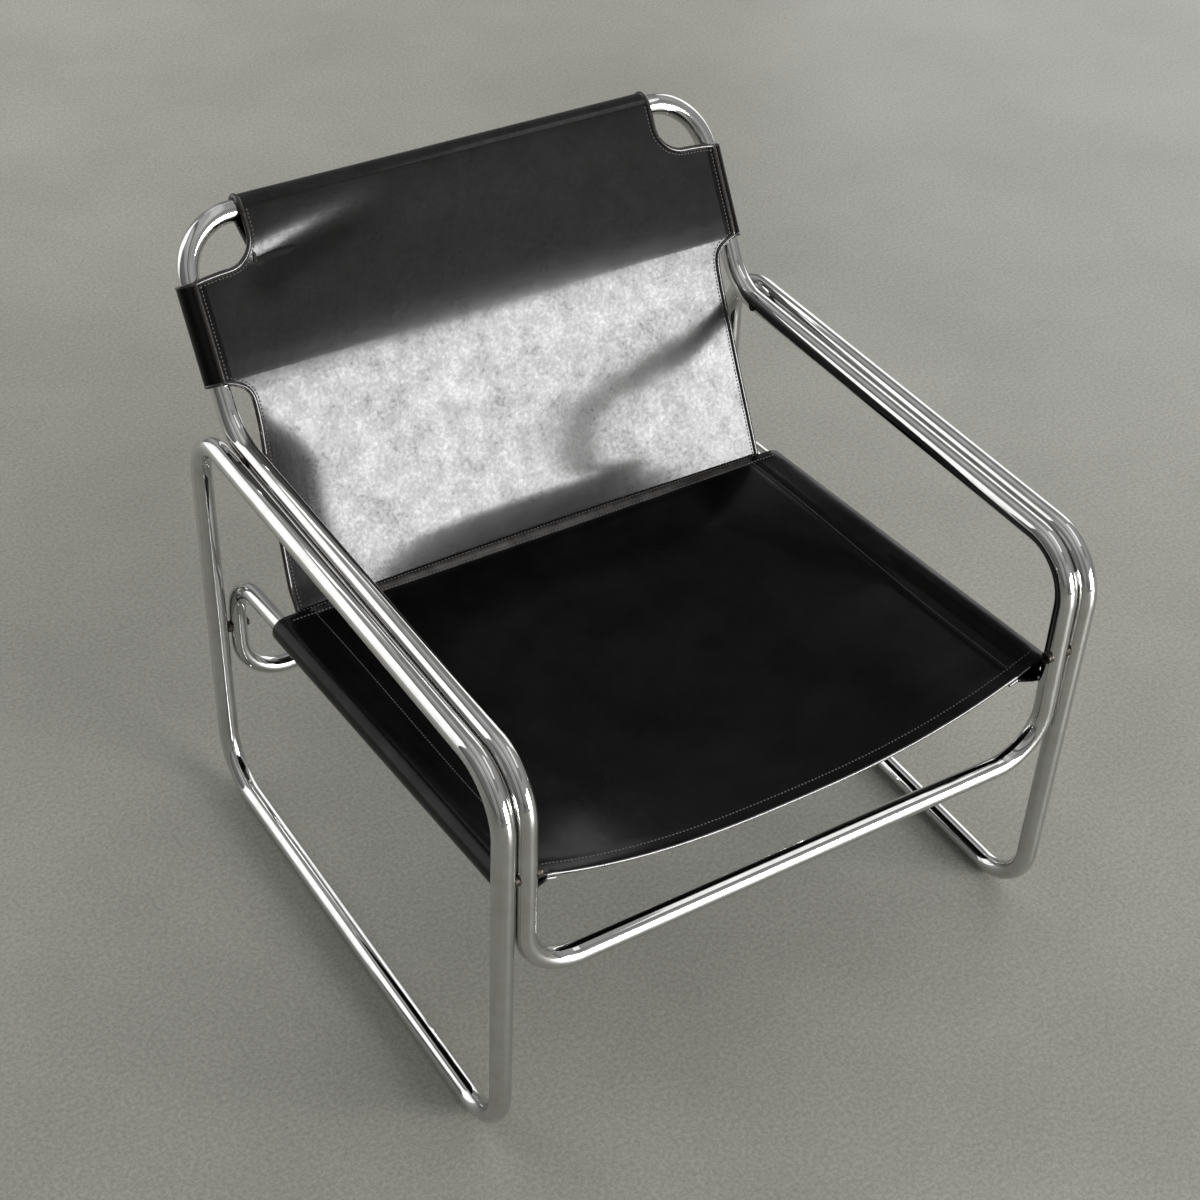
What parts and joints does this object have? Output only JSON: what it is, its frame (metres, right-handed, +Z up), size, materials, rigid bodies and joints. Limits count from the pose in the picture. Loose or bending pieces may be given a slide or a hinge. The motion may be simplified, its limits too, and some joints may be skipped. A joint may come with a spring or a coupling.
{
  "type": "tubular lounge chair",
  "caption": "Low armchair of bent chromed tube: side loops carry an inner frame and a seat frame, with a leather sling for the seat and one for the back.",
  "frame": {"origin": "on the floor, at the middle of the footprint of the whole chair", "axes": "+Z up, -Y the way the sitter faces, +X to the right as seen from the front"},
  "size_m": [0.773, 0.815, 0.7506],
  "materials": {
    "chrome_tube": "polished chrome plate, lightly worn",
    "nickel_fixing": "worn nickel plate with brownish tarnish",
    "steel_insert": "plain machined steel",
    "black_leather": "thick black saddle leather, polished by wear"
  },
  "bodies": {
    "root": {"side_loop_left": "chrome_tube", "side_loop_right": "chrome_tube", "inner_frame": "chrome_tube", "seat_frame": "chrome_tube", "seat_sling": "black_leather", "back_sling": "black_leather", "side_loop_joint_left": "steel_insert", "side_loop_joint_right": "steel_insert", "inner_frame_joint": "steel_insert", "front_leg_spacer_left": "nickel_fixing", "front_leg_spacer_right": "nickel_fixing", "front_leg_cap_left": "nickel_fixing", "front_leg_cap_right": "nickel_fixing", "front_leg_stud_left": "steel_insert", "front_leg_stud_right": "steel_insert", "arm_spacer_left": "nickel_fixing", "arm_spacer_right": "nickel_fixing", "arm_cap_left": "nickel_fixing", "arm_cap_right": "nickel_fixing", "arm_stud_left": "steel_insert", "arm_stud_right": "steel_insert", "rear_leg_spacer_left": "nickel_fixing", "rear_leg_spacer_right": "nickel_fixing", "rear_leg_cap_left": "nickel_fixing", "rear_leg_cap_right": "nickel_fixing", "rear_leg_stud_left": "steel_insert", "rear_leg_stud_right": "steel_insert"}
  },
  "joints": []
}
